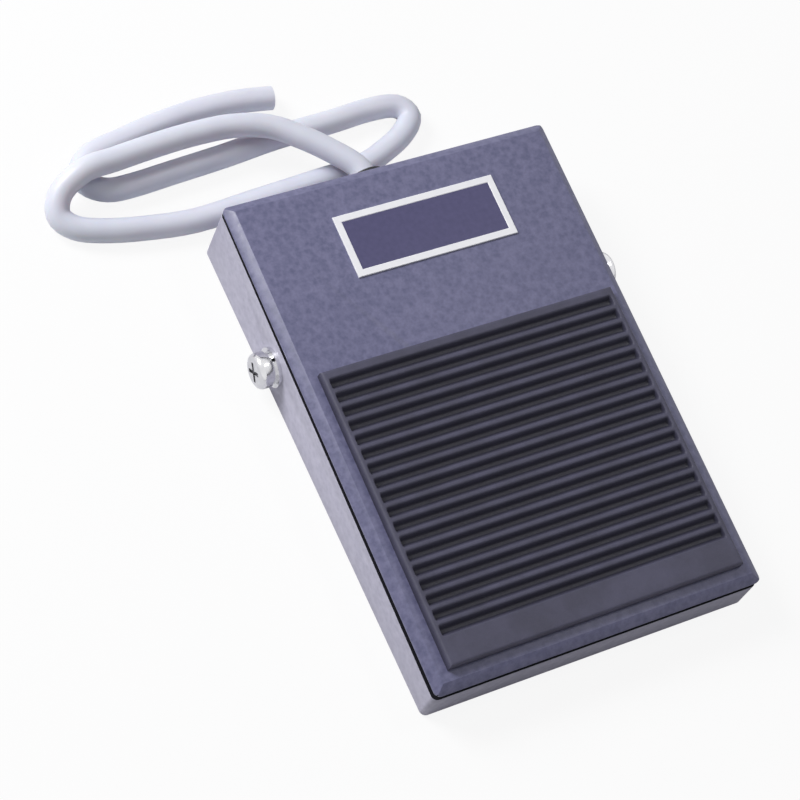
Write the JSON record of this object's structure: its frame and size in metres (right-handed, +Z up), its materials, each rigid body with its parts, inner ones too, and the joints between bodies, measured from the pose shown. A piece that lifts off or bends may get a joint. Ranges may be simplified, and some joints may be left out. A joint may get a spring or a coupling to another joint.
{
  "type": "industrial foot switch",
  "caption": "Low wedge-shaped steel foot switch with a hinged ribbed-rubber treadle over a snap-action switch, and a loosely folded grey mains cord.",
  "frame": {"origin": "centre of the footprint on the ground under the feet, without the cord", "axes": "+X to the right seen from the toe, +Y from the toe to the heel where the cord leaves, +Z up"},
  "size_m": [0.1164, 0.1503, 0.0196],
  "materials": {
    "tray_paint": "light grey hammer paint",
    "cover_paint": "blue-grey hammer paint",
    "tread_rubber": "moulded black rubber",
    "label_print": "bare printed plate, white frame and dark field",
    "zinc_steel": "zinc plated",
    "bright_steel": "bright nickel plated",
    "spring_steel": "spring wire",
    "nylon": "natural nylon",
    "case_black": "moulded phenolic",
    "plunger_red": "moulded",
    "contact_brass": "tinned brass",
    "fish_paper": "insulating paper",
    "black_rubber": "moulded rubber",
    "cord_pvc": "soft grey PVC",
    "pvc_brown": "core insulation",
    "pvc_blue": "core insulation",
    "pvc_earth": "green and yellow core insulation"
  },
  "bodies": {
    "tray": {"base_tray": "tray_paint", "pivot_screws": "bright_steel", "spring_washers": "bright_steel", "flat_washers": "bright_steel", "pivot_nuts": "zinc_steel", "return_spring": "spring_steel", "spring_seat": "zinc_steel", "switch_case": "case_black", "switch_lid": "case_black", "switch_terminals": "contact_brass", "switch_bracket": "zinc_steel", "bracket_screws": "zinc_steel", "switch_screws": "zinc_steel", "insulating_sheet": "fish_paper", "crimp_receptacles": "contact_brass", "clamp_base": "case_black", "clamp_bar": "case_black", "clamp_screws": "zinc_steel", "cord_grommet": "black_rubber", "cord_tail": "cord_pvc", "core_brown": "pvc_brown", "core_blue": "pvc_blue", "core_earth": "pvc_earth", "earth_lug": "contact_brass", "earth_screw": "zinc_steel", "stop_buffers": "black_rubber", "rubber_feet": "black_rubber", "cord": "cord_pvc"},
    "treadle": {"treadle_cover": "cover_paint", "tread_pad": "tread_rubber", "label_plate": "label_print", "hinge_bracket": "zinc_steel", "pivot_bushes": "nylon", "actuator_button": "nylon", "spring_cup": "zinc_steel"},
    "plunger": {"switch_plunger": "plunger_red"},
    "blade": {"contact_blade": "contact_brass"}
  },
  "joints": [
    {"name": "treadle_hinge", "type": "hinge", "parent": "tray", "child": "treadle", "pos_m": [0, 0.0235, 0.0075], "axis": [1, 0, 0], "range_deg": [0, 1.3], "stiffness_Nm_per_rad": 6.8, "springref_deg": -4.87, "deforming": ["return_spring"]},
    {"name": "plunger_slide", "type": "slide", "parent": "tray", "child": "plunger", "axis": [0, 0, -1], "range_m": [0, 0.00073]},
    {"name": "blade_hinge", "type": "hinge", "parent": "tray", "child": "blade", "pos_m": [-0.0108, -0.008, 0.00945], "axis": [0, 1, 0], "range_deg": [0, 3.85]}
  ],
  "couplings": [
    {"joint": "plunger_slide", "follows": "treadle_hinge", "m_per_rad": 0.0315},
    {"joint": "blade_hinge", "follows": "treadle_hinge", "ratio": 2.9167}
  ]
}
